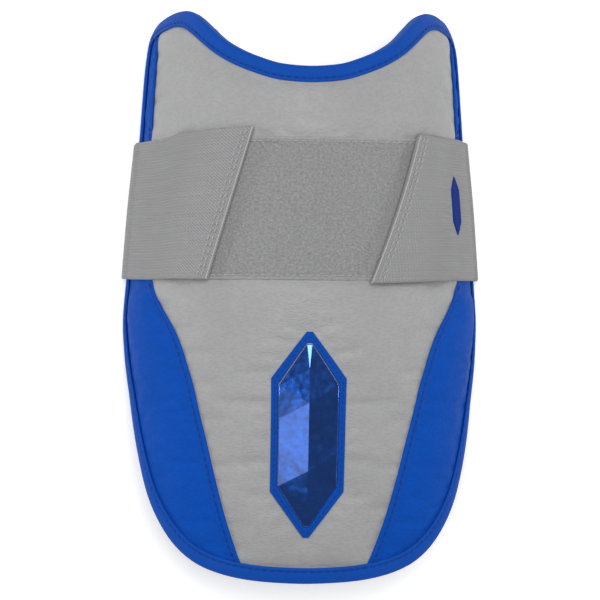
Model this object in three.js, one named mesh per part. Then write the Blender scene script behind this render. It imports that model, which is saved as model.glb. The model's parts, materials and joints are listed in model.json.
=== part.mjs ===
// Baseball elbow guard lying on its back, in millimetres.
// +X runs across the arm, +Y towards the neckline that faces the upper arm, +Z up out of the front panel.
import * as THREE from "three";

// Padded shell
const guardLength = 235.5; // foot to horns, along the arm
const guardWidth = 145.2; // across the covers at the widest section
const crownHeight = 72; // front panel above the surface that the guard lies on
const coverThickness = 1.2; // coated leather of the front and side panels
const padMiddle = 9; // foam and lining away from the edge
const padEdge = 3; // foam and lining pressed flat inside the binding
const clearance = 0.3; // between pieces that touch
const padGap = 0.6; // between the pad and what wraps it
const padSlope = 17; // width of the slope from the flat edge to the full pad

// Binding folded over the whole edge
const bindingThickness = 1;
const bindingLeg = 7; // width of the fold seen from the front
const bindingSlack = 0.9; // between the fold and the edge inside it

// Elastic strap, hook pads and loop patch
const strapWidth = 60;
const strapThickness = 1.8;
const strapMiddle = 36; // place of the strap's centre line along the arm
const strapBend = 1.8; // inner radius where the strap turns under the wings
const strapRamp = 8; // length over which the strap comes down off the patch
const strapReady = 1; // it is over the binding this far before the binding starts
const patchLength = 126;
const patchHeight = 58;
const patchThickness = 1.4;
const hookThickness = 1.2;
const hookMargin = 4; // hook pad inside the strap's end and the patch's edges

// Badge on the front panel and printed mark on the strap
const badgeLength = 84;
const badgeWidth = 31;
const badgePlace = -56; // place of its centre along the arm
const badgeBorder = 3; // flat stitched border
const borderThickness = 1.2;
const gemGirdle = 1.6; // height of the faceted face at its edge
const gemRidge = 4.4; // and along its ridge
const markLength = 24;
const markWidth = 10;
const markThickness = 0.4;
const markReach = 77; // from the crown line round to the mark
const markPlace = 38; // place of its centre along the arm

// Seam and panel ends
const seamGap = clearance; // between the front and side panels
const seamSteps = 24; // rows of both panels along their seam
const panelTuck = 4; // side panels end this far under the binding
const floorRamp = 24; // the wings' edges come down to the floor over this length
const wingTop = 0.7; // beyond this share of the turn, the neckline runs down the wing
const edgeSamples = 240; // points of the edge that the pad's distance is measured to

// Cross-sections, a row each: place from foot (0) to horns (1), half width as a share of half the
// guard's width, and crown as a share of the crown height.
const sections = [
  { along: 0, width: 0.955, crown: 0.64 },
  { along: 0.1, width: 0.966, crown: 0.785 },
  { along: 0.205, width: 0.972, crown: 0.885 },
  { along: 0.31, width: 0.98, crown: 0.95 },
  { along: 0.39, width: 0.995, crown: 0.98 },
  { along: 0.45, width: 1, crown: 0.992 },
  { along: 0.53, width: 0.982, crown: 1 },
  { along: 0.65, width: 0.953, crown: 0.993 },
  { along: 0.775, width: 0.914, crown: 0.965 },
  { along: 0.9, width: 0.884, crown: 0.91 },
  { along: 0.94, width: 0.868, crown: 0.891 },
  { along: 0.97, width: 0.836, crown: 0.876 },
  { along: 1, width: 0.785, crown: 0.86 },
];

// Edge of the shell, a row for each share of the quarter turn from the crown line to the side:
// where the foot's edge and the neckline's edge lie, as shares of the length.
const outline = [
  { turn: 0, foot: 0, neck: 0.9 },
  { turn: 0.12, foot: 0.002, neck: 0.904 },
  { turn: 0.2, foot: 0.005, neck: 0.914 },
  { turn: 0.26, foot: 0.009, neck: 0.923 },
  { turn: 0.32, foot: 0.015, neck: 0.934 },
  { turn: 0.38, foot: 0.023, neck: 0.947 },
  { turn: 0.44, foot: 0.034, neck: 0.963 },
  { turn: 0.5, foot: 0.05, neck: 0.978 },
  { turn: 0.56, foot: 0.071, neck: 0.99 },
  { turn: 0.62, foot: 0.098, neck: 0.998 },
  { turn: 0.68, foot: 0.13, neck: 1 },
  { turn: 0.72, foot: 0.156, neck: 0.9985 },
  { turn: 0.8, foot: 0.225, neck: 0.993 },
  { turn: 0.867, foot: 0.293, neck: 0.987 },
  { turn: 0.922, foot: 0.358, neck: 0.98 },
  { turn: 0.967, foot: 0.414, neck: 0.971 },
  { turn: 1, foot: 0.462, neck: 0.955 },
];

// Seam between the front panel and each side panel: place along the length and share of the turn.
const seam = [
  { along: 0.02, turn: 0.243 },
  { along: 0.06, turn: 0.28 },
  { along: 0.124, turn: 0.329 },
  { along: 0.188, turn: 0.37 },
  { along: 0.251, turn: 0.407 },
  { along: 0.316, turn: 0.447 },
  { along: 0.347, turn: 0.463 },
  { along: 0.379, turn: 0.486 },
  { along: 0.412, turn: 0.513 },
  { along: 0.443, turn: 0.55 },
  { along: 0.475, turn: 0.61 },
  { along: 0.507, turn: 0.671 },
  { along: 0.559, turn: 0.74 },
  { along: 0.652, turn: 0.79 },
  { along: 0.762, turn: 0.812 },
  { along: 0.846, turn: 0.82 },
  { along: 0.911, turn: 0.824 },
  { along: 0.94, turn: 0.842 },
  { along: 0.965, turn: 0.87 },
  { along: 0.985, turn: 0.9 },
];

// Strap edges from its right end (0) round the back to its left end (1), as shares of its width
// from its centre line. The elastic narrows where it is stretched round the wings.
const strapEdges = [
  { path: 0, low: -0.505, high: 0.511 },
  { path: 0.28, low: -0.48, high: 0.495 },
  { path: 0.5, low: -0.48, high: 0.45 },
  { path: 0.72, low: -0.49, high: 0.465 },
  { path: 0.87, low: -0.485, high: 0.51 },
  { path: 1, low: -0.485, high: 0.545 },
];

// Slanted ends of the strap, as shares of the quarter turn at its low and high edges.
const strapEnds = {
  right: { low: 0.21, high: 0.441 },
  left: { low: 0.37, high: 0.215 },
};

const quarter = Math.PI / 2;
const radius = guardWidth / 2;
const quarterArc = quarter * radius;
const edgeInset = bindingThickness + bindingSlack;
const strapSeat = strapThickness + clearance;

const mix = THREE.MathUtils.lerp;
const turnOf = (arc) => arc / radius;
const placeOf = (along) => (along - 0.5) * guardLength;
const alongOf = (y) => y / guardLength + 0.5;

// Smooth curve through one column of a table that doesn't overshoot between its rows.
function curveThrough(rows, input, output) {
  const xs = rows.map((row) => row[input]);
  const ys = rows.map((row) => row[output]);
  const last = xs.length - 1;
  const rises = xs.slice(1).map((x, i) => (ys[i + 1] - ys[i]) / (x - xs[i]));
  const slopes = xs.map((_, i) => {
    const before = rises[i - 1] ?? rises[i];
    const after = rises[i] ?? rises[i - 1];
    return before * after <= 0 ? 0 : (2 * before * after) / (before + after);
  });
  return (x) => {
    if (x <= xs[0]) return ys[0] + slopes[0] * (x - xs[0]);
    if (x >= xs[last]) return ys[last] + slopes[last] * (x - xs[last]);
    const i = xs.findIndex((_, k) => x < xs[k + 1]);
    const span = xs[i + 1] - xs[i];
    const s = (x - xs[i]) / span;
    const bend = slopes[i] * s * (1 - s) ** 2 - slopes[i + 1] * s ** 2 * (1 - s);
    return mix(ys[i], ys[i + 1], s * s * (3 - 2 * s)) + span * bend;
  };
}

// Rows of a half table repeated on the far side of the crown line.
function mirrored(rows) {
  const far = rows.slice(1).map((row) => ({ ...row, turn: -row.turn }));
  return [...far.reverse(), ...rows];
}

const widthShare = curveThrough(sections, "along", "width");
const crownShare = curveThrough(sections, "along", "crown");
const footShare = curveThrough(mirrored(outline), "turn", "foot");
const neckShare = curveThrough(mirrored(outline), "turn", "neck");
const seamShare = curveThrough(seam, "along", "turn");
const footTurnShare = curveThrough(outline, "foot", "turn");
const neckOuterRows = outline.filter((row) => row.turn > wingTop).reverse();
const neckTurnShare = curveThrough(neckOuterRows, "neck", "turn");

const footAt = (turn) => placeOf(footShare(turn / quarter));
const neckAt = (turn) => placeOf(neckShare(turn / quarter));
const seamTurnAt = (y) => quarter * seamShare(alongOf(y));
const strapLow = strapMiddle - strapWidth / 2;

// The wings' edges stand on the strap beside it, and on the floor below it.
function edgeHeightAt(y) {
  const share = (y - strapLow + floorRamp) / floorRamp;
  return strapSeat * THREE.MathUtils.smoothstep(share, 0, 1);
}

// A point of the covers' face: turn is the angle from the crown line, and lift is along the normal.
function faceAt(turn, y, lift = 0) {
  const surface = (angle, place) => {
    const crown = crownHeight * crownShare(alongOf(place));
    const depth = crown - edgeHeightAt(place);
    const half = radius * widthShare(alongOf(place));
    return new THREE.Vector3(half * Math.sin(angle), place, crown - depth * (1 - Math.cos(angle)));
  };
  const step = 0.01;
  const across = surface(turn + step, y).sub(surface(turn - step, y));
  const along = surface(turn, y + step).sub(surface(turn, y - step));
  const normal = across.cross(along).normalize();
  return surface(turn, y).addScaledVector(normal, lift);
}

// Slope of an edge curve, in millimetres along the arm for each millimetre round it.
function slopeOf(curve, turn) {
  const step = 0.005;
  return (curve(turn + step) - curve(turn - step)) / (2 * step * radius);
}

const insetFoot = (turn, inset) => footAt(turn) + inset * Math.hypot(1, slopeOf(footAt, turn));
const insetNeck = (turn, inset) => neckAt(turn) - inset * Math.hypot(1, slopeOf(neckAt, turn));

// Turn at which a wing ends at one place along the arm.
function wingTurnAt(y) {
  if (y < footAt(quarter)) return quarter * footTurnShare(alongOf(y));
  if (y > neckAt(quarter)) return quarter * neckTurnShare(alongOf(y));
  return quarter;
}

function insetWing(y, inset) {
  const step = 0.5;
  const slope = (radius * (wingTurnAt(y + step) - wingTurnAt(y - step))) / (2 * step);
  return wingTurnAt(y) - turnOf(inset * Math.hypot(1, slope));
}

// Place where the seam meets an edge curve, found by repeated substitution.
function seamMeets(insetEdge, start) {
  let y = start;
  for (let round = 0; round < 12; round += 1) y = insetEdge(seamTurnAt(y), edgeInset);
  return y;
}

const seamFoot = seamMeets(insetFoot, -guardLength / 2);
const seamNeck = seamMeets(insetNeck, guardLength / 2);
const seamPlaces = marginSpaced(
  seamFoot,
  seamFoot + panelTuck,
  seamNeck - panelTuck,
  seamNeck,
  seamSteps,
);

function geometryOf(points, triangles) {
  const geometry = new THREE.BufferGeometry().setFromPoints(points);
  geometry.setIndex(triangles);
  geometry.computeVertexNormals();
  return geometry;
}

// Closed solid between two grids of points of the same size: front[i][j] and back[i][j].
function slab(front, back) {
  const columns = front.length;
  const rows = front[0].length;
  const points = [...front.flat(), ...back.flat()];
  const frontIndex = (i, j) => i * rows + j;
  const backIndex = (i, j) => columns * rows + i * rows + j;
  const triangles = [];
  for (let i = 0; i < columns - 1; i += 1) {
    for (let j = 0; j < rows - 1; j += 1) {
      const corners = [[i, j], [i + 1, j], [i + 1, j + 1], [i, j + 1]];
      const [a, b, c, d] = corners.map(([p, q]) => frontIndex(p, q));
      triangles.push(a, b, c, a, c, d);
      const [e, f, g, h] = corners.map(([p, q]) => backIndex(p, q));
      triangles.push(e, g, f, e, h, g);
    }
  }
  const rim = [];
  for (let i = 0; i < columns - 1; i += 1) rim.push([i, 0]);
  for (let j = 0; j < rows - 1; j += 1) rim.push([columns - 1, j]);
  for (let i = columns - 1; i > 0; i -= 1) rim.push([i, rows - 1]);
  for (let j = rows - 1; j > 0; j -= 1) rim.push([0, j]);
  rim.forEach((corner, k) => {
    const next = rim[(k + 1) % rim.length];
    const [a, b] = [frontIndex(...corner), frontIndex(...next)];
    const [c, d] = [backIndex(...corner), backIndex(...next)];
    triangles.push(a, c, d, a, d, b);
  });
  return geometryOf(points, triangles);
}

// Closed ring swept through sections that each hold the same closed profile.
function ring(sectionPoints) {
  const count = sectionPoints.length;
  const size = sectionPoints[0].length;
  const triangles = [];
  for (let i = 0; i < count; i += 1) {
    for (let k = 0; k < size; k += 1) {
      const [p, q] = [(i + 1) % count, (k + 1) % size];
      const [a, b, c, d] = [i * size + k, p * size + k, p * size + q, i * size + q];
      triangles.push(a, b, c, a, c, d);
    }
  }
  return geometryOf(sectionPoints.flat(), triangles);
}

function grid(columns, rows, pointAt) {
  return Array.from({ length: columns + 1 }, (_, i) =>
    Array.from({ length: rows + 1 }, (__, j) => pointAt(i / columns, j / rows, i, j)),
  );
}

// Sheet wrapped on the shell between two lifts. place(u, v, row) gives its turn and its place.
function wrapped(columns, rows, place, outer, inner) {
  const layer = (lift) => grid(columns, rows, (u, v, i, j) => faceAt(...place(u, v, j), lift));
  return slab(layer(outer), layer(inner));
}

// Positions from low to high with the first and last step set apart, and even steps between.
function marginSpaced(low, lowMargin, highMargin, high, steps) {
  const middle = Array.from({ length: steps + 1 }, (_, i) => mix(lowMargin, highMargin, i / steps));
  return [low, ...middle, high];
}

// Foam pad with its lining: flat inside the binding, full beyond the slope.
function padBody() {
  const edgePoints = edgeCurve().getSpacedPoints(edgeSamples);
  const turnSteps = 30;
  const rowSteps = 17;
  const rim = quarter - turnOf(edgeInset);
  const turns = marginSpaced(-rim, -rim + turnOf(bindingLeg), rim - turnOf(bindingLeg), rim, turnSteps);
  const fullness = (turn, y) => {
    const here = new THREE.Vector3(turn * radius, y, 0);
    const distance = Math.min(...edgePoints.map((point) => point.distanceTo(here)));
    return THREE.MathUtils.smoothstep(distance - 2 * bindingLeg, 0, padSlope);
  };
  const outer = coverThickness + padGap;
  const layer = (depthAt) =>
    turns.map((turn) => {
      const [foot, neck] = [insetFoot(turn, edgeInset), insetNeck(turn, edgeInset)];
      return marginSpaced(foot, foot + bindingLeg, neck - bindingLeg, neck, rowSteps).map((y) =>
        faceAt(turn, y, -depthAt(turn, y)),
      );
    });
  return slab(
    layer(() => outer),
    layer((turn, y) => outer + mix(padEdge, padMiddle, fullness(turn, y))),
  );
}

// Front panel: its corners lie where the seams meet the foot and the neckline.
function frontPanel() {
  const pull = 3; // how fast the rows straighten away from the curved ends
  const [footTurn, neckTurn] = [seamTurnAt(seamFoot), seamTurnAt(seamNeck)];
  const place = (u, v, row) => {
    const across = 2 * u - 1;
    const y = seamPlaces[row];
    const turn = across * (seamTurnAt(y) - turnOf(seamGap / 2));
    const footBow = insetFoot(across * footTurn, edgeInset) - seamFoot;
    const neckBow = insetNeck(across * neckTurn, edgeInset) - seamNeck;
    return [turn, y + footBow * (1 - v) ** pull + neckBow * v ** pull];
  };
  return wrapped(26, seamPlaces.length - 1, place, 0, -coverThickness);
}

// Side panel from the seam round to the wing's edge. side is 1 on the right and -1 on the left.
function sidePanel(side) {
  const place = (u, v, row) => {
    const y = seamPlaces[row + 1];
    const inner = seamTurnAt(y) + turnOf(seamGap / 2);
    const outer = insetWing(y, edgeInset);
    return [side > 0 ? mix(inner, outer, u) : -mix(outer, inner, u), y];
  };
  return wrapped(7, seamPlaces.length - 3, place, 0, -coverThickness);
}

// The shell's whole edge as one closed curve, flat: x is the arc round the arm and y the place.
function edgeCurve() {
  const steps = 40;
  const half = [];
  for (let k = 0; k <= steps; k += 1) {
    const turn = (quarter * k) / steps;
    half.push(new THREE.Vector3(turn * radius, footAt(turn), 0));
  }
  for (let k = 1; k < steps; k += 1) {
    const y = mix(footAt(quarter), neckAt(quarter), k / steps);
    half.push(new THREE.Vector3(quarterArc, y, 0));
  }
  for (let k = steps; k >= 0; k -= 1) {
    const turn = (quarter * k) / steps;
    half.push(new THREE.Vector3(turn * radius, neckAt(turn), 0));
  }
  const far = half.slice(1, -1).map((point) => new THREE.Vector3(-point.x, point.y, 0));
  const curve = new THREE.CatmullRomCurve3([...half, ...far.reverse()], true);
  curve.arcLengthDivisions = 1200;
  return curve;
}

// Binding: a U folded over covers and pad, swept round the edge. Profile points are the inset
// from the edge and the lift off the face.
function edgeBinding() {
  const stations = 96;
  const outside = clearance + bindingThickness;
  const under = -(coverThickness + padEdge + 2 * padGap);
  const inside = under - bindingThickness;
  const [cut, nick] = [1.6 * bindingThickness, 0.5 * bindingThickness];
  const profile = [
    [cut, outside],
    [bindingLeg, outside],
    [bindingLeg, clearance],
    [bindingThickness, clearance],
    [bindingThickness, under],
    [bindingLeg, under],
    [bindingLeg, inside],
    [cut, inside],
    [nick, inside + nick],
    [0, inside + cut],
    [0, outside - cut],
    [nick, outside - nick],
  ];
  const curve = edgeCurve();
  const sectionAt = (share) => {
    const point = curve.getPointAt(share);
    const heading = curve.getTangentAt(share);
    return profile.map(([inset, lift]) => {
      const arc = point.x - heading.y * inset;
      const y = point.y + heading.x * inset;
      return faceAt(turnOf(arc), y, lift);
    });
  };
  return ring(Array.from({ length: stations }, (_, i) => sectionAt(i / stations)));
}

const patchLow = strapMiddle - patchHeight / 2;
const patchLift = clearance + patchThickness;
const hookLift = patchLift + clearance;
const overHook = hookLift + hookThickness + clearance;
const overBinding = 2 * clearance + bindingThickness;

// Loop patch sewn across the front panel.
function loopPatch() {
  const place = (u, v) => [turnOf((u - 0.5) * patchLength), patchLow + v * patchHeight];
  return wrapped(22, 5, place, patchLift, clearance);
}

// Turn of the strap's slanted end, from its low edge (0) to its high edge (1).
function endTurn(side, share) {
  const end = side > 0 ? strapEnds.right : strapEnds.left;
  return quarter * mix(end.low, end.high, share);
}

// Hook pad sewn under one end of the strap.
function hookPad(side) {
  const [low, high] = [patchLow + hookMargin, patchLow + patchHeight - hookMargin];
  const place = (u, v) => {
    const inner = endTurn(side, v) + turnOf(hookMargin);
    const outer = turnOf(patchLength / 2 - hookMargin);
    return [side > 0 ? mix(inner, outer, u) : -mix(outer, inner, u), mix(low, high, v)];
  };
  return wrapped(6, 5, place, hookLift + hookThickness, hookLift);
}

// Stops of the strap on one wing, outwards from where it leaves the hook pad: the arc from the
// crown line and the lift of the strap's inner face.
function strapStops() {
  const patchEnd = patchLength / 2 + clearance;
  const bindingEnd = quarterArc - bindingLeg;
  const down = patchEnd + strapRamp;
  const up = bindingEnd - strapRamp / 2;
  return [
    { arc: patchEnd, lift: overHook },
    { arc: patchEnd + strapRamp / 2, lift: mix(clearance, overHook, 0.4) },
    { arc: down, lift: clearance },
    { arc: mix(down, up, 1 / 3), lift: clearance },
    { arc: mix(down, up, 2 / 3), lift: clearance },
    { arc: up, lift: clearance },
    { arc: bindingEnd - strapReady, lift: overBinding },
  ];
}

// One point of the strap's inner or outer face on a wing.
function strapOnWing(side, turn, y, lift, depth) {
  return faceAt(side * turn, y, lift + depth);
}

// Corner under a wing's edge, from upright (0) to flat (1).
function strapCorner(side, y, share, depth) {
  const half = radius * widthShare(alongOf(y));
  const centreX = half + overBinding - strapBend;
  const reach = strapBend + depth;
  const angle = quarter * share;
  const x = side * (centreX + reach * Math.cos(angle));
  return new THREE.Vector3(x, y, strapThickness + strapBend - reach * Math.sin(angle));
}

// One wing of the strap, from its end outwards and under: a list of functions of the share
// across the width, the place along the arm and the depth in the thickness.
function strapWing(side) {
  const stops = strapStops();
  const endSteps = 6;
  const onPatch = Array.from({ length: endSteps }, (_, k) => (share, y, depth) => {
    const turn = mix(endTurn(side, share), turnOf(stops[0].arc), k / endSteps);
    return strapOnWing(side, turn, y, overHook, depth);
  });
  const onFace = stops.map(({ arc, lift }) => (share, y, depth) =>
    strapOnWing(side, turnOf(arc), y, lift, depth),
  );
  const cornerSteps = 4;
  const underEdge = Array.from({ length: cornerSteps }, (_, k) => (share, y, depth) =>
    strapCorner(side, y, k / (cornerSteps - 1), depth),
  );
  return [...onPatch, ...onFace, ...underEdge];
}

// Elastic strap: from its right end round the right wing, under both wings and up to its left end.
function strap() {
  const rows = 6;
  const lowAt = curveThrough(strapEdges, "path", "low");
  const highAt = curveThrough(strapEdges, "path", "high");
  const stations = [...strapWing(1), ...strapWing(-1).reverse()];
  const layer = (depth) =>
    grid(stations.length - 1, rows, (u, v, i) => {
      const low = strapMiddle + strapWidth * lowAt(u);
      const high = strapMiddle + strapWidth * highAt(u);
      return stations[i](v, mix(low, high, v), depth);
    });
  return slab(layer(strapThickness), layer(0));
}

// Elongated hexagon, a row each: place from its foot (-1) to its head (1), half width as a share.
const hexagon = [
  { place: -1, half: 0.08 },
  { place: -0.55, half: 1 },
  { place: 0.55, half: 1 },
  { place: 1, half: 0.08 },
];

// Place of a hexagon's point round the shell, for a share of its half width.
function hexagonPlace(row, across, length, width) {
  return [(across * row.half * width) / 2, (row.place * length) / 2];
}

// Faceted face of the badge: a ridge along its middle and flat facets down to its girdle.
function badgeFace() {
  const inset = badgeBorder + clearance;
  const [length, width] = [badgeLength - 3 * inset, badgeWidth - 2 * inset];
  const columns = 6;
  const rowSteps = 3; // rows between two corners of the hexagon
  const rows = hexagon.slice(1).flatMap((row, k) =>
    Array.from({ length: rowSteps }, (_, step) => {
      const share = (step + 1) / rowSteps;
      const before = hexagon[k];
      const along = { place: mix(before.place, row.place, share) };
      return { ...along, half: mix(before.half, row.half, share) };
    }),
  );
  rows.unshift(hexagon[0]);
  const at = (row, across, lift) => {
    const [arc, y] = hexagonPlace(row, across, length, width);
    return faceAt(turnOf(arc), badgePlace + y, lift);
  };
  const ridgeLift = (row) => mix(gemGirdle, gemRidge, (row.half - hexagon[0].half) / (1 - hexagon[0].half));
  const top = (row, across) => {
    const girdle = at(row, Math.sign(across), clearance + gemGirdle);
    const ridge = at(row, 0, clearance + ridgeLift(row));
    return ridge.lerp(girdle, Math.abs(across));
  };
  const layer = (pointAt) =>
    grid(columns, rows.length - 1, (u, v, i, j) => pointAt(rows[j], 2 * u - 1));
  return slab(
    layer(top),
    layer((row, across) => at(row, across, clearance)),
  );
}

// Flat stitched border round the badge's face.
function badgeRim() {
  const sideSteps = 4;
  const right = hexagon.map((row) => ({ ...row, side: 1 }));
  const left = hexagon.map((row) => ({ ...row, side: -1 })).reverse();
  const corners = [...right, ...left];
  const cornerAt = (corner, shrink) => {
    const size = [badgeLength - 3 * shrink, badgeWidth - 2 * shrink];
    return hexagonPlace(corner, corner.side, ...size);
  };
  const sectionAt = (corner, next, share) =>
    [
      [0, clearance + borderThickness],
      [badgeBorder, clearance + borderThickness],
      [badgeBorder, clearance],
      [0, clearance],
    ].map(([shrink, lift]) => {
      const [from, to] = [cornerAt(corner, shrink), cornerAt(next, shrink)];
      const arc = mix(from[0], to[0], share);
      return faceAt(turnOf(arc), badgePlace + mix(from[1], to[1], share), lift);
    });
  const sectionPoints = corners.flatMap((corner, k) => {
    const next = corners[(k + 1) % corners.length];
    const steps = corner.place === next.place ? 1 : sideSteps;
    return Array.from({ length: steps }, (_, step) => sectionAt(corner, next, step / steps));
  });
  return ring(sectionPoints);
}

// Printed mark on the right of the strap, a thin pressed film.
function strapMark() {
  const lift = 2 * clearance + strapThickness;
  const layer = (height) =>
    grid(2, hexagon.length - 1, (u, v, i, j) => {
      const [arc, y] = hexagonPlace(hexagon[j], 2 * u - 1, markLength, markWidth);
      return faceAt(turnOf(markReach + arc), markPlace + y, height);
    });
  return slab(layer(lift + markThickness), layer(lift));
}

const materials = {
  greyLeather: { color: 0xa6a6a6, roughness: 0.55, metalness: 0 },
  blueLeather: { color: 0x114fb2, roughness: 0.5, metalness: 0 },
  blueBinding: { color: 0x0f50b4, roughness: 0.75, metalness: 0 },
  foamLining: { color: 0x6e7176, roughness: 0.95, metalness: 0 },
  greyElastic: { color: 0x949494, roughness: 0.9, metalness: 0 },
  greyLoop: { color: 0x969696, roughness: 0.97, metalness: 0 },
  greyHook: { color: 0x7d7d7d, roughness: 0.7, metalness: 0 },
  blueMetal: { color: 0x1f55c8, roughness: 0.22, metalness: 0.85 },
  navyPrint: { color: 0x0f2d7d, roughness: 0.45, metalness: 0 },
};

function piece(name, geometry, look) {
  const mesh = new THREE.Mesh(geometry, new THREE.MeshStandardMaterial(look));
  mesh.name = name;
  return mesh;
}

const guard = new THREE.Group();
guard.name = "elbow_guard";
guard.add(
  piece("pad_body", padBody(), materials.foamLining),
  piece("front_panel", frontPanel(), materials.greyLeather),
  piece("side_panel_right", sidePanel(1), materials.blueLeather),
  piece("side_panel_left", sidePanel(-1), materials.blueLeather),
  piece("edge_binding", edgeBinding(), materials.blueBinding),
  piece("loop_patch", loopPatch(), materials.greyLoop),
  piece("hook_pad_right", hookPad(1), materials.greyHook),
  piece("hook_pad_left", hookPad(-1), materials.greyHook),
  piece("strap", strap(), materials.greyElastic),
  piece("badge_rim", badgeRim(), materials.blueLeather),
  piece("badge_face", badgeFace(), materials.blueMetal),
  piece("strap_mark", strapMark(), materials.navyPrint),
);

export default guard;
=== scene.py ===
import json
import math

import bpy
import numpy as np
from mathutils import Matrix, Vector


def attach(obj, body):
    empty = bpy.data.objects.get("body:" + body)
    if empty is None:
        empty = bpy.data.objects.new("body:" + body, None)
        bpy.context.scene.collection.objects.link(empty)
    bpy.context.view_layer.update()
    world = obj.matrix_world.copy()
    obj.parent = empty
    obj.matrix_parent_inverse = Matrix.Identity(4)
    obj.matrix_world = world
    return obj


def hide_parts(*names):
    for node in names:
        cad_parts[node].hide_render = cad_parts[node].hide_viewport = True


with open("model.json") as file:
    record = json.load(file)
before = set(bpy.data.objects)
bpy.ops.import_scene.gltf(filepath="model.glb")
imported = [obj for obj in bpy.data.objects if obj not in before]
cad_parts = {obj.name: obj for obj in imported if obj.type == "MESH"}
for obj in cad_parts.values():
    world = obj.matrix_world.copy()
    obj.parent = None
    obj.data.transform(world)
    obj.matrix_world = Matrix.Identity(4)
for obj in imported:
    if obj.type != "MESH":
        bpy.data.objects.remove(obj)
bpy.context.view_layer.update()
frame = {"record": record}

MM = 0.001
QUARTER = math.pi / 2

# Padded shell
GUARD_LENGTH = 235.5
RADIUS = 72.6
CROWN_HEIGHT = 72.0
COVER_THICKNESS = 1.2
PAD_MIDDLE = 9.0
PAD_EDGE = 3.0
CLEARANCE = 0.3
PAD_GAP = 0.6
PAD_SLOPE = 17.0

# Binding folded over the whole edge
BINDING_THICKNESS = 1.0
BINDING_LEG = 7.0
BINDING_SLACK = 0.9

# Elastic strap, hook pads and loop patch
STRAP_WIDTH = 60.0
STRAP_THICKNESS = 1.8
STRAP_MIDDLE = 36.0
STRAP_BEND = 1.8
STRAP_RAMP = 8.0
STRAP_READY = 1.0
PATCH_LENGTH = 126.0
PATCH_HEIGHT = 58.0
PATCH_THICKNESS = 1.4
HOOK_THICKNESS = 1.2
HOOK_MARGIN = 4.0

# Badge on the front panel and printed mark on the strap
BADGE_LENGTH = 84.0
BADGE_WIDTH = 31.0
BADGE_PLACE = -56.0
BADGE_BORDER = 3.0
GEM_GIRDLE = 1.6
MARK_LENGTH = 24.0
MARK_WIDTH = 10.0
MARK_THICKNESS = 0.4
MARK_REACH = 77.0
MARK_PLACE = 38.0

# Edge of the shell
FLOOR_RAMP = 24.0
WING_TOP = 0.7  # beyond this share of the turn, the neckline runs down the wing
EDGE_SAMPLES = 160
EDGE_SOFTNESS = 2.5
EDGE_SPACING = 0.9
EDGE_STRIDE = 3  # of the edge's points, every third stands for it where distances are measured

# Cloth simulation
SIMULATION_SCALE = 10.0
SIMULATION_STEP = 2
SIMULATION_FRAMES = 20
SEWN_MARGIN = 1.0  # the cloth is held this far beyond what is sewn or laid on it

# Sizes that follow from the others
EDGE_INSET = BINDING_THICKNESS + BINDING_SLACK
QUARTER_ARC = QUARTER * RADIUS
STRAP_SEAT = STRAP_THICKNESS + CLEARANCE
STRAP_LOW = STRAP_MIDDLE - STRAP_WIDTH / 2
STRAP_HIGH = STRAP_MIDDLE + STRAP_WIDTH / 2
PATCH_LOW = STRAP_MIDDLE - PATCH_HEIGHT / 2
PATCH_LIFT = CLEARANCE + PATCH_THICKNESS
HOOK_LIFT = PATCH_LIFT + CLEARANCE
HOOK_END = PATCH_LENGTH / 2 - HOOK_MARGIN
OVER_HOOK = HOOK_LIFT + HOOK_THICKNESS + CLEARANCE
OVER_BINDING = 2 * CLEARANCE + BINDING_THICKNESS


def table(*rows):
    return np.array(rows, float)


# Cross-sections: place from foot (0) to horns (1), half width and crown as shares of the full ones.
SECTIONS = table(
    (0, 0.955, 0.64),
    (0.1, 0.966, 0.785),
    (0.205, 0.972, 0.885),
    (0.31, 0.98, 0.95),
    (0.39, 0.995, 0.98),
    (0.45, 1, 0.992),
    (0.53, 0.982, 1),
    (0.65, 0.953, 0.993),
    (0.775, 0.914, 0.965),
    (0.9, 0.884, 0.91),
    (0.94, 0.868, 0.891),
    (0.97, 0.836, 0.876),
    (1, 0.785, 0.86),
)

# Edge of the shell: share of the quarter turn, then the foot's and the neckline's places.
OUTLINE = table(
    (0, 0, 0.9),
    (0.12, 0.002, 0.904),
    (0.2, 0.005, 0.914),
    (0.26, 0.009, 0.923),
    (0.32, 0.015, 0.934),
    (0.38, 0.023, 0.947),
    (0.44, 0.034, 0.963),
    (0.5, 0.05, 0.978),
    (0.56, 0.071, 0.99),
    (0.62, 0.098, 0.998),
    (0.68, 0.13, 1),
    (0.72, 0.156, 0.9985),
    (0.8, 0.225, 0.993),
    (0.867, 0.293, 0.987),
    (0.922, 0.358, 0.98),
    (0.967, 0.414, 0.971),
    (1, 0.462, 0.955),
)

# Seam between the front panel and each side panel: place along the length, share of the turn.
SEAM = table(
    (0.02, 0.243),
    (0.06, 0.28),
    (0.124, 0.329),
    (0.188, 0.37),
    (0.251, 0.407),
    (0.316, 0.447),
    (0.347, 0.463),
    (0.379, 0.486),
    (0.412, 0.513),
    (0.443, 0.55),
    (0.475, 0.61),
    (0.507, 0.671),
    (0.559, 0.74),
    (0.652, 0.79),
    (0.762, 0.812),
    (0.846, 0.82),
    (0.911, 0.824),
    (0.94, 0.842),
    (0.965, 0.87),
    (0.985, 0.9),
)

# Strap edges from its right end (0) to its left end (1), as shares of its width.
STRAP_EDGES = table(
    (0, -0.505, 0.511),
    (0.28, -0.48, 0.495),
    (0.5, -0.48, 0.45),
    (0.72, -0.49, 0.465),
    (0.87, -0.485, 0.51),
    (1, -0.485, 0.545),
)

# Slanted ends of the strap: share of the quarter turn at its low and at its high edge.
STRAP_ENDS = {1: (0.21, 0.441), -1: (0.37, 0.215)}

# Elongated hexagon: place from its foot (-1) to its head (1), half width as a share.
HEXAGON = table((-1, 0.08), (-0.55, 1), (0.55, 1), (1, 0.08))


# Curves and the shell's surface


def mix(a, b, share):
    return a + (b - a) * share


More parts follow.
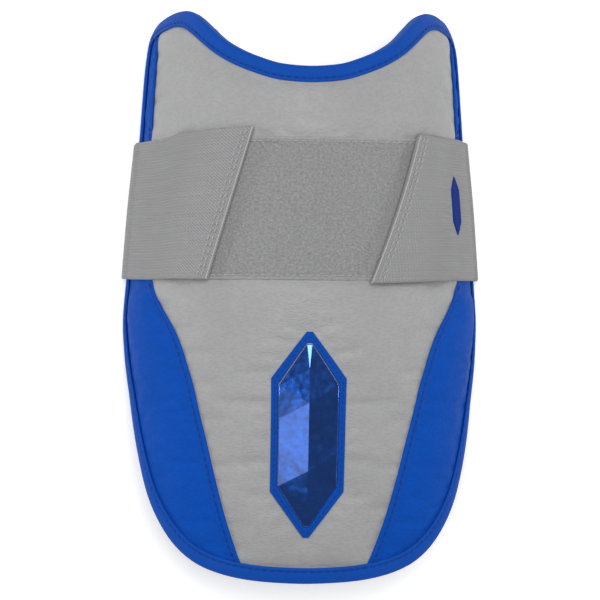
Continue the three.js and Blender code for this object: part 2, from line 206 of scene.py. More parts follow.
def smoothstep(x, low, high):
    share = np.clip((x - low) / (high - low), 0, 1)
    return share * share * (3 - 2 * share)


def bump(x, middle, width):
    """A smooth hump of height 1 round the middle."""
    return np.exp(-(((x - middle) / width) ** 2))


def curve_through(xs, ys):
    """Smooth curve through a table's rows that doesn't overshoot between them."""
    rises = np.diff(ys) / np.diff(xs)
    before = np.concatenate([rises[:1], rises])
    after = np.concatenate([rises, rises[-1:]])
    same_way = before * after > 0
    total = np.where(same_way, before + after, 1)
    slopes = np.where(same_way, 2 * before * after / total, 0)

    def at(x):
        x = np.asarray(x, float)
        i = np.clip(np.searchsorted(xs, x, side="right") - 1, 0, len(xs) - 2)
        span = xs[i + 1] - xs[i]
        s = np.clip((x - xs[i]) / span, 0, 1)
        bend = slopes[i] * s * (1 - s) ** 2 - slopes[i + 1] * s**2 * (1 - s)
        inside = mix(ys[i], ys[i + 1], s * s * (3 - 2 * s)) + span * bend
        before_first = slopes[0] * np.minimum(x - xs[0], 0)
        after_last = slopes[-1] * np.maximum(x - xs[-1], 0)
        return inside + before_first + after_last

    return at


def mirrored(rows):
    """Rows of a half table repeated on the far side of the crown line."""
    far = rows[:0:-1] * np.array([-1, 1, 1])
    return np.concatenate([far, rows])


def turn_of(arc):
    return arc / RADIUS


def along_of(y):
    return y / GUARD_LENGTH + 0.5


def place_of(along):
    return (along - 0.5) * GUARD_LENGTH


WHOLE_OUTLINE = mirrored(OUTLINE)
NECK_OUTER = OUTLINE[OUTLINE[:, 0] > WING_TOP][::-1]
width_share = curve_through(SECTIONS[:, 0], SECTIONS[:, 1])
crown_share = curve_through(SECTIONS[:, 0], SECTIONS[:, 2])
foot_share = curve_through(WHOLE_OUTLINE[:, 0], WHOLE_OUTLINE[:, 1])
neck_share = curve_through(WHOLE_OUTLINE[:, 0], WHOLE_OUTLINE[:, 2])
seam_share = curve_through(SEAM[:, 0], SEAM[:, 1])
foot_turn_share = curve_through(OUTLINE[:, 1], OUTLINE[:, 0])
neck_turn_share = curve_through(NECK_OUTER[:, 2], NECK_OUTER[:, 0])
strap_low_share = curve_through(STRAP_EDGES[:, 0], STRAP_EDGES[:, 1])
strap_high_share = curve_through(STRAP_EDGES[:, 0], STRAP_EDGES[:, 2])


def foot_at(turn):
    return place_of(foot_share(turn / QUARTER))


def neck_at(turn):
    return place_of(neck_share(turn / QUARTER))


def seam_turn_at(y):
    return QUARTER * seam_share(along_of(y))


def edge_height_at(y):
    """Height of the wings' edges: they stand on the strap beside it, and on the floor below it."""
    return STRAP_SEAT * smoothstep(y, STRAP_LOW - FLOOR_RAMP, STRAP_LOW)


def surface_at(turn, y):
    crown = CROWN_HEIGHT * crown_share(along_of(y))
    depth = crown - edge_height_at(y)
    half = RADIUS * width_share(along_of(y))
    x = half * np.sin(turn)
    z = crown - depth * (1 - np.cos(turn))
    return np.stack(np.broadcast_arrays(x, y, z), axis=-1)


def unit(vectors):
    return vectors / np.linalg.norm(vectors, axis=-1, keepdims=True)


def normal_at(turn, y):
    step = 0.01
    across = surface_at(turn + step, y) - surface_at(turn - step, y)
    along = surface_at(turn, y + step) - surface_at(turn, y - step)
    return unit(np.cross(across, along))


def face_at(turn, y, lift=0.0):
    """Points at a lift off the covers' face. turn is the angle from the crown line."""
    turn, y, lift = np.broadcast_arrays(turn, y, lift)
    return surface_at(turn, y) + normal_at(turn, y) * lift[..., None]


def slope_of(curve, turn):
    step = 0.005
    return (curve(turn + step) - curve(turn - step)) / (2 * step * RADIUS)


def inset_foot(turn, inset):
    return foot_at(turn) + inset * np.hypot(1, slope_of(foot_at, turn))


def inset_neck(turn, inset):
    return neck_at(turn) - inset * np.hypot(1, slope_of(neck_at, turn))


def wing_turn_at(y):
    """Turn at which a wing ends at one place along the arm."""
    below = QUARTER * foot_turn_share(along_of(y))
    above = QUARTER * neck_turn_share(along_of(y))
    turn = np.where(y < foot_at(QUARTER), below, QUARTER)
    return np.where(y > neck_at(QUARTER), above, turn)


def inset_wing(y, inset):
    step = 0.5
    slope = RADIUS * (wing_turn_at(y + step) - wing_turn_at(y - step)) / (2 * step)
    return wing_turn_at(y) - turn_of(inset * np.hypot(1, slope))


def seam_meets(inset_edge, start):
    """Place where the seam meets an edge curve, found by repeated substitution."""
    rounds = 12
    y = start
    for _ in range(rounds):
        y = float(inset_edge(seam_turn_at(y), EDGE_INSET))
    return y


SEAM_FOOT = seam_meets(inset_foot, -GUARD_LENGTH / 2)
SEAM_NECK = seam_meets(inset_neck, GUARD_LENGTH / 2)


def resampled(points, spacing, closed=False):
    """Evenly spaced points along a path of flat or solid points."""
    if closed:
        points = np.concatenate([points, points[:1]])
    lengths = np.linalg.norm(np.diff(points, axis=0), axis=1)
    travelled = np.concatenate([[0], np.cumsum(lengths)])
    count = max(2, int(round(travelled[-1] / spacing)))
    stops = np.linspace(0, travelled[-1], count + 1)
    if closed:
        stops = stops[:-1]
    columns = [np.interp(stops, travelled, points[:, k]) for k in range(points.shape[1])]
    return np.stack(columns, axis=1)


def smoothed(points, reach):
    """A closed path with its corners softened over that many points."""
    offsets = np.arange(-3 * reach, 3 * reach + 1)
    weights = np.exp(-((offsets / reach) ** 2) / 2)
    weights /= weights.sum()
    return sum(w * np.roll(points, -int(o), axis=0) for o, w in zip(offsets, weights))


def edge_path(spacing):
    """The shell's whole edge, flat: the arc round the arm and the place along it.

    It starts and ends under the strap, where the join of the binding is hidden.
    """
    turns = np.linspace(0, QUARTER, EDGE_SAMPLES)
    foot = np.stack([turns * RADIUS, foot_at(turns)], axis=1)
    neck = np.stack([turns * RADIUS, neck_at(turns)], axis=1)[::-1]
    half = np.concatenate([foot, neck])
    far = half[1:-1][::-1] * np.array([-1, 1])
    path = resampled(np.concatenate([half, far]), spacing, closed=True)
    start = np.argmin(np.hypot(path[:, 0] - QUARTER_ARC, path[:, 1] - STRAP_MIDDLE))
    return np.roll(smoothed(path, round(EDGE_SOFTNESS / spacing)), -start, axis=0)


def headings(path):
    """Unit directions along a closed path."""
    return unit(np.roll(path, -1, axis=0) - np.roll(path, 1, axis=0))


def inset_path(path, inset):
    """A closed path moved inwards, to the left of its direction."""
    ahead = headings(path)
    return path + np.stack([-ahead[:, 1], ahead[:, 0]], axis=1) * inset


EDGE = edge_path(EDGE_SPACING)


def distance_to_edge(turn, y):
    """Flat distance from each point to the shell's edge."""
    here = np.stack(np.broadcast_arrays(turn * RADIUS, y), axis=-1)
    nearest = np.full(here.shape[:-1], np.inf)
    for point in EDGE[::EDGE_STRIDE]:
        nearest = np.minimum(nearest, np.hypot(*np.moveaxis(here - point, -1, 0)))
    return nearest


def noise(shape, cells, seed):
    """Smooth random field from -1 to 1 over a grid, with that many cells each way."""
    generator = np.random.default_rng(seed)
    lattice = generator.uniform(-1, 1, (cells[0] + 3, cells[1] + 3))
    u = np.linspace(0, cells[0], shape[0])
    v = np.linspace(0, cells[1], shape[1])
    iu = np.minimum(u.astype(int), cells[0])
    iv = np.minimum(v.astype(int), cells[1])
    fu = smoothstep(u - iu, 0, 1)[:, None]
    fv = smoothstep(v - iv, 0, 1)[None, :]
    low = mix(lattice[np.ix_(iu, iv)], lattice[np.ix_(iu + 1, iv)], fu)
    high = mix(lattice[np.ix_(iu, iv + 1)], lattice[np.ix_(iu + 1, iv + 1)], fu)
    return mix(low, high, fv)


# Meshes


def shares(columns, rows, first=0):
    """Shares of a grid: across its columns from the first one to 1, along its rows from 0 to 1."""
    return np.linspace(first, 1, columns)[:, None], np.linspace(0, 1, rows)[None, :]


def grid_quads(columns, rows, start=0):
    i, j = np.meshgrid(np.arange(columns - 1), np.arange(rows - 1), indexing="ij")
    a = start + i * rows + j
    return np.stack([a, a + rows, a + rows + 1, a + 1], axis=-1).reshape(-1, 4)


def slab(front, back):
    """Closed solid between two grids of points of the same size."""
    columns, rows = front.shape[:2]
    count = columns * rows
    near = grid_quads(columns, rows)
    far = grid_quads(columns, rows, count)[:, ::-1]
    index = np.arange(count).reshape(columns, rows)
    rim = np.concatenate([index[:-1, 0], index[-1, :-1], index[:0:-1, -1], index[0, :0:-1]])
    after = np.roll(rim, -1)
    side = np.stack([rim, rim + count, after + count, after], axis=1)
    points = np.concatenate([front.reshape(-1, 3), back.reshape(-1, 3)])
    return points, np.concatenate([near, far, side])


def ring(sections):
    """Closed ring swept through sections that each hold the same closed profile."""
    count, size = sections.shape[:2]
    i, k = np.meshgrid(np.arange(count), np.arange(size), indexing="ij")
    p, q = (i + 1) % count, (k + 1) % size
    quads = np.stack([i * size + k, p * size + k, p * size + q, i * size + q], axis=-1)
    return sections.reshape(-1, 3), quads.reshape(-1, 4)


def mesh_object(name, points, faces, uv=None, sharp=None):
    """Object from points in millimetres. uv is a point for each vertex, also in millimetres."""
    blocks = faces if isinstance(faces, list) else [faces]
    mesh = bpy.data.meshes.new(name)
    mesh.from_pydata(points * MM, [], [face for block in blocks for face in block.tolist()])
    if uv is not None:
        layer = mesh.uv_layers.new(name="cloth")
        corners = np.zeros(len(mesh.loops), int)
        mesh.loops.foreach_get("vertex_index", corners)
        layer.data.foreach_set("uv", (uv[corners] * MM).ravel())
    mesh.polygons.foreach_set("use_smooth", np.ones(len(mesh.polygons), bool))
    if sharp is not None:
        mesh.set_sharp_from_angle(angle=math.radians(sharp))
    obj = bpy.data.objects.new(name, mesh)
    bpy.context.scene.collection.objects.link(obj)
    return obj


def paint_attribute(obj, name, values):
    """A number that the material reads, for each point of a slab's front and again of its back."""
    attribute = obj.data.attributes.new(name, "FLOAT", "POINT")
    attribute.data.foreach_set("value", np.asarray([values, values], np.float32).ravel())


def dressed(obj, material, slot, *nodes):
    """Gives a piece its material, and lets it stand for its CAD nodes on the guard."""
    obj.data.materials.append(material)
    if nodes:
        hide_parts(*nodes)
    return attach(obj, "root")


def flat_uv(arc, y):
    """Cloth coordinates of a grid's points, for its front and its back."""
    layer = np.stack(np.broadcast_arrays(arc, y), axis=-1).reshape(-1, 2)
    return np.concatenate([layer, layer])


def every_other(count):
    """Numbers of the rows that the simulation keeps: every second one and the last."""
    return np.unique(np.append(np.arange(0, count, SIMULATION_STEP), count - 1))


def filled_in(values, kept, shape):
    """Values of a thinned grid carried over to the rows and columns between, and softened."""
    for axis, stops in enumerate(kept):
        places = np.arange(shape[axis])
        values = np.apply_along_axis(lambda line: np.interp(places, stops, line), axis, values)
    for axis in (0, 1):
        around = np.pad(values, [(1, 1) if a == axis else (0, 0) for a in range(3)], mode="edge")
        low, middle, high = (np.moveaxis(around, axis, 0)[k : k + shape[axis]] for k in range(3))
        values = np.moveaxis((low + 2 * middle + high) / 4, 0, axis)
    return values


def simulated(face, sewn, pressure, growth, cap):
    """A grid of points after a short cloth simulation.

    The sheet is held where it is sewn, grows by a share and is blown along its normals. No point
    moves further than the cap, in millimetres.
    """
    kept = [every_other(count) for count in face.shape[:2]]
    rest = face[np.ix_(*kept)]
    points = rest.reshape(-1, 3) * SIMULATION_SCALE
    sheet = mesh_object("simulated", points, grid_quads(*rest.shape[:2]))
    group = sheet.vertex_groups.new(name="sewn")
    group.add(np.flatnonzero(sewn[np.ix_(*kept)]).tolist(), 1.0, "REPLACE")
    cloth = sheet.modifiers.new("cloth", "CLOTH")
    settings = cloth.settings
    settings.quality = 6
    settings.mass = 0.3
    settings.tension_stiffness = 15
    settings.compression_stiffness = 15
    settings.shear_stiffness = 5
    settings.bending_stiffness = 0.6
    settings.use_pressure = True
    settings.uniform_pressure_force = pressure
    settings.shrink_min = -growth
    settings.vertex_group_mass = "sewn"
    settings.effector_weights.gravity = 0
    cloth.collision_settings.use_collision = False
    for number in range(1, SIMULATION_FRAMES + 1):
        bpy.context.scene.frame_set(number)
    graph = bpy.context.evaluated_depsgraph_get()
    moved = np.zeros(rest.size)
    sheet.evaluated_get(graph).data.vertices.foreach_get("co", moved)
    bpy.data.objects.remove(sheet)
    bpy.context.scene.frame_set(1)
    shift = moved.reshape(rest.shape) / (MM * SIMULATION_SCALE) - rest
    length = np.linalg.norm(shift, axis=-1, keepdims=True)
    capped = shift * (cap / np.maximum(length, cap))
    return face + filled_in(capped, kept, face.shape)


# Stitches

STITCH_SIDES = 6

# Rings of a stitch: place along it, fullness, and rise in half thicknesses.
STITCH_RINGS = table(
    (-0.5, 0.45, -0.9),
    (-0.3, 0.95, 0.3),
    (0, 1, 0.6),
    (0.3, 0.95, 0.3),
    (0.5, 0.45, -0.9),
)


def stitch_shape(length, thickness):
    """One stitch: a bowed thread whose ends sink into the cloth. Its rings run along x."""
    angles = np.linspace(0, 2 * math.pi, STITCH_SIDES, endpoint=False)
    rings = []
    for along, fullness, rise in STITCH_RINGS:
        x = np.full(STITCH_SIDES, along * length)
        across = np.cos(angles) * fullness * thickness / 2
        up = (np.sin(angles) * fullness + rise) * thickness / 2
        rings.append(np.stack([x, across, up], axis=1))
    return np.concatenate(rings)


def stitch_faces(count):
    """Faces of that many stitches: their sides, then their two ends."""
    rings = len(STITCH_RINGS)
    i, k = np.meshgrid(np.arange(rings - 1), np.arange(STITCH_SIDES), indexing="ij")
    q = (k + 1) % STITCH_SIDES
    sides = np.stack([i, i, i + 1, i + 1], axis=-1) * STITCH_SIDES + np.stack([k, q, q, k], axis=-1)
    around = np.arange(STITCH_SIDES)
    ends = np.stack([around[::-1], around + (rings - 1) * STITCH_SIDES])
    starts = np.arange(count)[:, None, None] * rings * STITCH_SIDES
    all_sides = (sides.reshape(1, -1, 4) + starts).reshape(-1, 4)
    all_ends = (ends[None] + starts).reshape(-1, STITCH_SIDES)
    return [all_sides, all_ends]


def stitch_row(path, lift, pitch, closed=False):
    """Middle, direction and normal of each stitch of a row: path holds arcs and places."""
    stops = resampled(path, pitch, closed)
    ahead = headings(stops) if closed else unit(np.gradient(stops, axis=0))
    nudge = 0.2 * pitch * ahead
    before, middle, after = (
        face_at(turn_of(points[:, 0]), points[:, 1], lift)
        for points in (stops - nudge, stops, stops + nudge)
    )
    return middle, unit(after - before), normal_at(turn_of(stops[:, 0]), stops[:, 1])


def stitching(name, rows, length, thickness):
    """One object that holds every stitch of these rows."""
    middles, directions, normals = (np.concatenate(parts) for parts in zip(*rows))
    sides = np.cross(normals, directions)
    shape = stitch_shape(length, thickness)
    points = (
        middles[:, None]
        + shape[None, :, :1] * directions[:, None]
        + shape[None, :, 1:2] * sides[:, None]
        + shape[None, :, 2:] * normals[:, None]
    )
    return mesh_object(name, points.reshape(-1, 3), stitch_faces(len(middles)))


# Panels

# Folded edge of a side panel: distance from the seam line, lift of its face, lift of its back.
FOLD = table(
    (-1.5, 0.2, 0.1),
    (-1.85, 0.45, 0.15),
    (-1.8, 0.78, 0.15),
    (-1.4, 1.02, 0.15),
    (-0.7, 1.1, 0.15),
    (0, 1.02, 0.1),
    (0.4, 0.72, -0.5),
    (0.8, 0.5, -1.2),
    (1.2, 0.72, -1.2),
    (1.7, 0.66, -1.2),
    (2.4, 0.4, -1.2),
    (3.2, 0.16, -1.2),
    (4, 0.03, -1.2),
)
SEAM_STITCH = 0.8
PANEL_TUCK = 4.0  # the side panels end this far under the binding

# A wing is pressed flat up to the first margin beside the strap, and free beyond the second.
PRESSED_MARGIN = 1.0
FREE_MARGIN = 5.0

# How far wear reaches from a seam, from the binding and from the folded edge of a side panel.
WORN_SEAM = 3.0
WORN_EDGE = 2.5
WORN_FOLD = 0.8


def under_strap(y):
    """1 where the strap presses a wing flat, 0 where it is free."""
    low = smoothstep(y, STRAP_LOW - FREE_MARGIN, STRAP_LOW - PRESSED_MARGIN)
    high = 1 - smoothstep(y, STRAP_HIGH + PRESSED_MARGIN, STRAP_HIGH + FREE_MARGIN)
    return low * high


def in_hexagon(arc, y, grow):
    """Whether points lie on the badge, or within that margin beside it."""
    place = (y - BADGE_PLACE) / (BADGE_LENGTH / 2 + grow)
    half = np.interp(place, HEXAGON[:, 0], HEXAGON[:, 1], left=-1, right=-1)
    return np.abs(arc) < half * BADGE_WIDTH / 2 + grow


def front_panel():
    """Grey front, held at its seams, under the patch and round the badge, and soft between them."""
    pull = 3  # how fast the rows straighten away from the curved ends
    seam_dip = 0.25
    across, share = shares(150, 190, first=-1)
    y = mix(SEAM_FOOT, SEAM_NECK, share)
    foot_bow = inset_foot(across * seam_turn_at(SEAM_FOOT), EDGE_INSET) - SEAM_FOOT
    neck_bow = inset_neck(across * seam_turn_at(SEAM_NECK), EDGE_INSET) - SEAM_NECK
    turn = across * seam_turn_at(y)
    place = y + foot_bow * (1 - share) ** pull + neck_bow * share**pull
    arc = turn * RADIUS
    from_seam = (1 - np.abs(across)) * seam_turn_at(y) * RADIUS
    edge = distance_to_edge(turn, place)
    beside_patch = np.abs(arc) - PATCH_LENGTH / 2
    past_patch = np.abs(place - STRAP_MIDDLE) - PATCH_HEIGHT / 2
    on_patch = np.maximum(beside_patch, past_patch) < SEWN_MARGIN
    in_binding = edge < BINDING_LEG + SEWN_MARGIN
    sewn = (from_seam < 1.5) | in_binding | on_patch | in_hexagon(arc, place, SEWN_MARGIN)
    face = face_at(turn, place, -seam_dip * bump(from_seam, 0, 2))
    soft = simulated(face, sewn, pressure=3, growth=0.02, cap=1.6)
    back = face_at(turn, place, -COVER_THICKNESS)
    obj = mesh_object("panel_front", *slab(soft, back), uv=flat_uv(arc, place), sharp=50)
    border = bump(from_seam, 0, WORN_SEAM) + bump(edge, BINDING_LEG, WORN_EDGE)
    paint_attribute(obj, "border", border)
    return obj


def side_panel(side):
    """Blue side, folded over the front panel at the seam. side is 1 for right, -1 for left."""
    least_raised = 0.2
    columns, rows = 60, 220
    spread = np.linspace(0, 1, columns)[1:, None]
    y = np.linspace(SEAM_FOOT + PANEL_TUCK, SEAM_NECK - PANEL_TUCK, rows)[None, :]
    seam_arc = seam_turn_at(y) * RADIUS
    wing_arc = inset_wing(y, EDGE_INSET) * RADIUS
    fold_end = seam_arc + FOLD[-1, 0]
    arc = np.concatenate([seam_arc + FOLD[:, :1], mix(fold_end, wing_arc, spread)])
    near_ends = bump(y, y.min(), PANEL_TUCK) + bump(y, y.max(), PANEL_TUCK)
    flatness = np.clip(np.maximum(under_strap(y), near_ends), 0, 1)
    flat = np.zeros_like(spread)
    lift = np.concatenate([FOLD[:, 1:2], flat]) * mix(1, least_raised, flatness)
    back_lift = np.concatenate([FOLD[:, 2:], flat - COVER_THICKNESS]) * np.ones_like(y)
    turn = turn_of(arc)
    place = y * np.ones_like(arc)
    in_fold = arc - seam_arc <= FOLD[-1, 0] + 0.5
    in_binding = distance_to_edge(turn, place) < BINDING_LEG + SEWN_MARGIN
    sewn = in_fold | in_binding | (under_strap(place) > 0.05)
    if side < 0:
        grids = (-turn, place, lift, back_lift, sewn)
        turn, place, lift, back_lift, sewn = (grid[::-1] for grid in grids)
    soft = simulated(face_at(turn, place, lift), sewn, pressure=3, growth=0.02, cap=1.4)
    name = "panel_side_right" if side > 0 else "panel_side_left"
    solid = slab(soft, face_at(turn, place, back_lift))
    obj = mesh_object(name, *solid, uv=flat_uv(turn * RADIUS, place), sharp=50)
    from_fold = (np.abs(turn) - seam_turn_at(place)) * RADIUS - FOLD[1, 0]
    edge = distance_to_edge(turn, place)
    border = bump(from_fold, 0, WORN_FOLD) + bump(edge, BINDING_LEG, WORN_EDGE)
    paint_attribute(obj, "border", border)
    return obj


def seam_stitches():
    margin = 3
    y = np.linspace(SEAM_FOOT + margin, SEAM_NECK - margin, 200)
    arc = seam_turn_at(y) * RADIUS + SEAM_STITCH
    rows = []
    for side in (1, -1):
        path = np.stack([side * arc, y], axis=1)
        for shown in (y < STRAP_LOW - PRESSED_MARGIN, y > STRAP_HIGH):
            rows.append(stitch_row(path[shown], lift=0.58, pitch=3.2))
    return stitching("stitches_seams", rows, length=2.4, thickness=0.6)


# Pad and binding


def pad():
    """Foam pad with its knitted lining: flat inside the binding and full beyond the slope."""
    rim = QUARTER - turn_of(EDGE_INSET)
    columns, rows = 110, 130
    turn = np.linspace(-rim, rim, columns)[:, None]
    share = np.linspace(0, 1, rows)[None, :]
    y = mix(inset_foot(turn, EDGE_INSET), inset_neck(turn, EDGE_INSET), share)
    turn = turn * np.ones_like(y)
    edge = distance_to_edge(turn, y)
    fullness = smoothstep(edge, 2 * BINDING_LEG, 2 * BINDING_LEG + PAD_SLOPE)
    outer = COVER_THICKNESS + PAD_GAP
    depth = outer + mix(PAD_EDGE, PAD_MIDDLE, fullness)
    sewn = edge < 1.6 * BINDING_LEG
    soft = simulated(face_at(turn, y, -depth), sewn, pressure=-3, growth=0.025, cap=1.8)
    solid = slab(face_at(turn, y, -outer), soft)
    return mesh_object("pad_and_lining", *solid, uv=flat_uv(turn * RADIUS, y), sharp=60)


# Section of the binding: inset from the edge, lift off the face.
BINDING_SECTION = table(
    (1.2, 1.26),
    (2.2, 1.38),
    (3.4, 1.42),
    (4.5, 1.34),
    (4.95, 1.16),
    (5.4, 0.86),
    (5.85, 1.18),
    (6.4, 1.24),
    (6.9, 1),
    (7, 0.65),
    (6.8, 0.32),
    (1, 0.3),
    (1, -5.4),
    (6.8, -5.4),
    (7, -5.75),
    (6.9, -6.1),
    (6.4, -6.35),
    (5.4, -6.25),
    (3.4, -6.45),
    (1.8, -6.4),
    (0.9, -6.1),
    (0.25, -5.4),
    (0, -4.2),
    (-0.1, -2.6),
    (0, -0.8),
    (0.2, 0.3),
    (0.6, 0.95),
)
BINDING_STITCH = 5.4
BINDING_PITCH = 3.4


def binding():
    """Woven tape folded over the edge, drawn in a little at each stitch."""
    station = np.arange(len(EDGE))[:, None]
    stitches = round(len(EDGE) * EDGE_SPACING / BINDING_PITCH)
    pull = np.cos(2 * math.pi * stitches * station / len(EDGE))
    inset, lift = BINDING_SECTION.T
    near_stitch = bump(inset, BINDING_STITCH, 1.4) * (lift > 0)
    uneven = noise((len(EDGE), len(inset)), cells=(90, 4), seed=11)
    waves = 0.07 * pull * near_stitch + 0.06 * uneven
    paths = np.stack([inset_path(EDGE, depth) for depth in inset], axis=1)
    sections = face_at(turn_of(paths[..., 0]), paths[..., 1], lift + waves)
    steps = np.linalg.norm(np.diff(BINDING_SECTION, axis=0), axis=1)
    girth = np.concatenate([[0], np.cumsum(steps)])
    uv = np.stack(np.broadcast_arrays(station * EDGE_SPACING, girth), axis=-1).reshape(-1, 2)
    return mesh_object("binding", *ring(sections), uv=uv, sharp=70)


def binding_stitches():
    """Stitches along the binding, apart from where the strap covers it."""
    path = inset_path(EDGE, BINDING_STITCH)
    arc, y = path.T
    on_strap = (np.abs(y - STRAP_MIDDLE) < STRAP_WIDTH / 2) & (np.abs(arc) > PATCH_LENGTH / 2)
    start = int(np.argmax(on_strap))
    path, on_strap = np.roll(path, -start, axis=0), np.roll(on_strap, -start)
    cuts = np.flatnonzero(np.diff(on_strap.astype(int))) + 1
    runs = [run for run in np.split(np.arange(len(path)), cuts) if not on_strap[run[0]]]
    rows = [stitch_row(path[run], lift=0.94, pitch=BINDING_PITCH) for run in runs]
    return stitching("stitches_binding", rows, length=2.6, thickness=0.6)


# Loop patch and hook pads

PATCH_STITCH = 1.8
PILE_SINK = 0.1


def loop_patch():
    """Brushed loop fabric sewn across the front, with uneven pile and pressed edges."""
    size = (190, 100)
    u, v = shares(*size)
    arc = (u - 0.5) * PATCH_LENGTH
    y = PATCH_LOW + v * PATCH_HEIGHT
    from_side = (0.5 - np.abs(u - 0.5)) * PATCH_LENGTH
    from_end = (0.5 - np.abs(v - 0.5)) * PATCH_HEIGHT
    border = np.minimum(from_side, from_end)
    fine = noise(size, cells=(120, 60), seed=21)
    coarse = noise(size, cells=(40, 20), seed=22)
    pile = 0.07 * fine + 0.05 * coarse - PILE_SINK
    press = 0.7 * (1 - smoothstep(border, 0, 1)) + 0.35 * bump(from_end, PATCH_STITCH, 0.6)
    face = face_at(turn_of(arc), y, PATCH_LIFT + pile - press)
    solid = slab(face, face_at(turn_of(arc), y, CLEARANCE))
    obj = mesh_object("patch_of_loops", *solid, uv=flat_uv(arc, y), sharp=60)
    # rim: painted highlight along the patch's edges, read by the loops' material
    paint_attribute(obj, "rim", bump(border, 0, 0.6))
    return obj


def strap_end_arc(side, share):
    """Arc of a strap's slanted end, from its low edge (0) to its high edge (1)."""
    low, high = STRAP_ENDS[side]
    return QUARTER_ARC * mix(low, high, share)


def pile_fibres():
    """Short curled fibres of the loop patch, where the strap leaves it bare."""
    count = 7000
    steps = 4
    tucked = 3  # some of them start this far under the strap
    fibre_width = 0.05
    generator = np.random.default_rng(5)
    v = generator.uniform(0.04, 0.96, count)
    right, left = strap_end_arc(1, v), -strap_end_arc(-1, v)
    arc = mix(left - tucked, right + tucked, generator.uniform(0, 1, count))
    y = PATCH_LOW + v * PATCH_HEIGHT
    heading = generator.uniform(0, 2 * math.pi, count)
    reach = generator.uniform(0.5, 1.3, count)
    rise = generator.uniform(0.15, 0.4, count)
    share = np.linspace(0, 1, steps)[None, :]
    along = reach[:, None] * share
    curl = generator.uniform(-1.5, 1.5, count)
    swing = heading[:, None] + curl[:, None] * share
    path_arc = arc[:, None] + along * np.cos(swing)
    path_y = y[:, None] + along * np.sin(swing)
    lift = PATCH_LIFT - 0.15 + rise[:, None] * np.sin(math.pi * share)
    middle = face_at(turn_of(path_arc), path_y, lift)
    edge_arc = path_arc - fibre_width * np.sin(swing)
    edge = face_at(turn_of(edge_arc), path_y + fibre_width * np.cos(swing), lift)
    ribbon = np.stack([middle, edge], axis=2)
    start = np.arange(count)[:, None] * steps * 2
    step = np.arange(steps - 1)[None, :] * 2
    first = (start + step).ravel()
    quads = np.stack([first, first + 2, first + 3, first + 1], axis=1)
    return mesh_object("patch_fibres", ribbon.reshape(-1, 3), quads)


def hook_pad(side):
    """Hook tape sewn under one end of the strap."""
    size = (40, 60)
    u, v = shares(*size)
    y = mix(PATCH_LOW + HOOK_MARGIN, PATCH_LOW + PATCH_HEIGHT - HOOK_MARGIN, v)
    inner = strap_end_arc(side, v) + HOOK_MARGIN
    arc = mix(inner, HOOK_END, u) * np.ones_like(y)
    if side < 0:
        arc = -arc[::-1]
    y = y * np.ones_like(arc)
    hooks = 0.12 * noise(size, cells=size, seed=31)
    top = face_at(turn_of(arc), y, HOOK_LIFT + HOOK_THICKNESS)
    under = face_at(turn_of(arc), y, HOOK_LIFT + hooks)
    name = "hooks_right" if side > 0 else "hooks_left"
    return mesh_object(name, *slab(top, under), uv=flat_uv(arc, y), sharp=40)


# Strap

PATCH_END = PATCH_LENGTH / 2 + CLEARANCE
BINDING_START = QUARTER_ARC - BINDING_LEG
BINDING_READY = BINDING_START - STRAP_READY
RAMP_FOOT = PATCH_END + STRAP_RAMP
RAMP_HEAD = BINDING_START - STRAP_RAMP / 2
BRIDGE = 22.0  # the strap comes down off the hook pad over this length

# Stops of the strap on the right wing, outwards from the patch: number of the stop, arc. The
# corner under the wing's edge comes next, and the left wing has the same stops from the far end.
STRAP_STOPS = table(
    (6, PATCH_END),
    (7, PATCH_END + STRAP_RAMP / 2),
    (8, RAMP_FOOT),
    (11, RAMP_HEAD),
    (12, BINDING_READY),
)
FIRST_STOP = STRAP_STOPS[0, 0]
LAST_STOP = STRAP_STOPS[-1, 0]
CORNER_FIRST = 13
CORNER_LAST = 16
STRAP_COUNT = 33

# Ribs, and distances from the strap's end that follow its slant: its hem, the hem's two rows of
# stitches, the bead along the end, and where the slanted weave fades.
RIBS = 50
RIB_DEPTH = 0.07
STRAP_ROWS = 4 * RIBS + 1
HEM = np.array(
    [0, 0.1, 0.25, 0.45, 0.65, 0.85, 1.05, 1.3, 1.6, 2, 2.3]
    + [2.6, 2.9, 3.3, 3.9, 4.3, 4.6, 4.9, 5.3, 6, 7]
)
HEM_STITCHES = (2.6, 4.6)
HEM_BEAD = 0.35
TWILL_REACH = (12.0, 32.0)


def strap_lift(arc):
    """Lift of the strap's inner face: down from the hook pad in one pull, then over the binding."""
    down = np.clip((arc - HOOK_END) / BRIDGE, 0, 1)
    up = smoothstep(arc, RAMP_HEAD, BINDING_READY)
    drop = (OVER_HOOK - CLEARANCE) * (1 - down) ** 2 * (1 + down)
    return CLEARANCE + drop + (OVER_BINDING - CLEARANCE) * up


def strap_places(side, number, share):
    """Places along the arm of one row of the strap. number counts the stops from the end."""
    path = number / STRAP_COUNT if side > 0 else 1 - number / STRAP_COUNT
    low = STRAP_MIDDLE + STRAP_WIDTH * strap_low_share(path)
    high = STRAP_MIDDLE + STRAP_WIDTH * strap_high_share(path)
    return mix(low, high, share)


def strap_corner(side, y, share, depth):
    """Corner under a wing's edge, from upright (0) to flat (1)."""
    centre = RADIUS * width_share(along_of(y)) + OVER_BINDING - STRAP_BEND
    reach = STRAP_BEND + depth
    x = side * (centre + reach * np.cos(QUARTER * share))
    z = STRAP_THICKNESS + STRAP_BEND - reach * np.sin(QUARTER * share)
    return np.stack(np.broadcast_arrays(x, y, z), axis=-1)


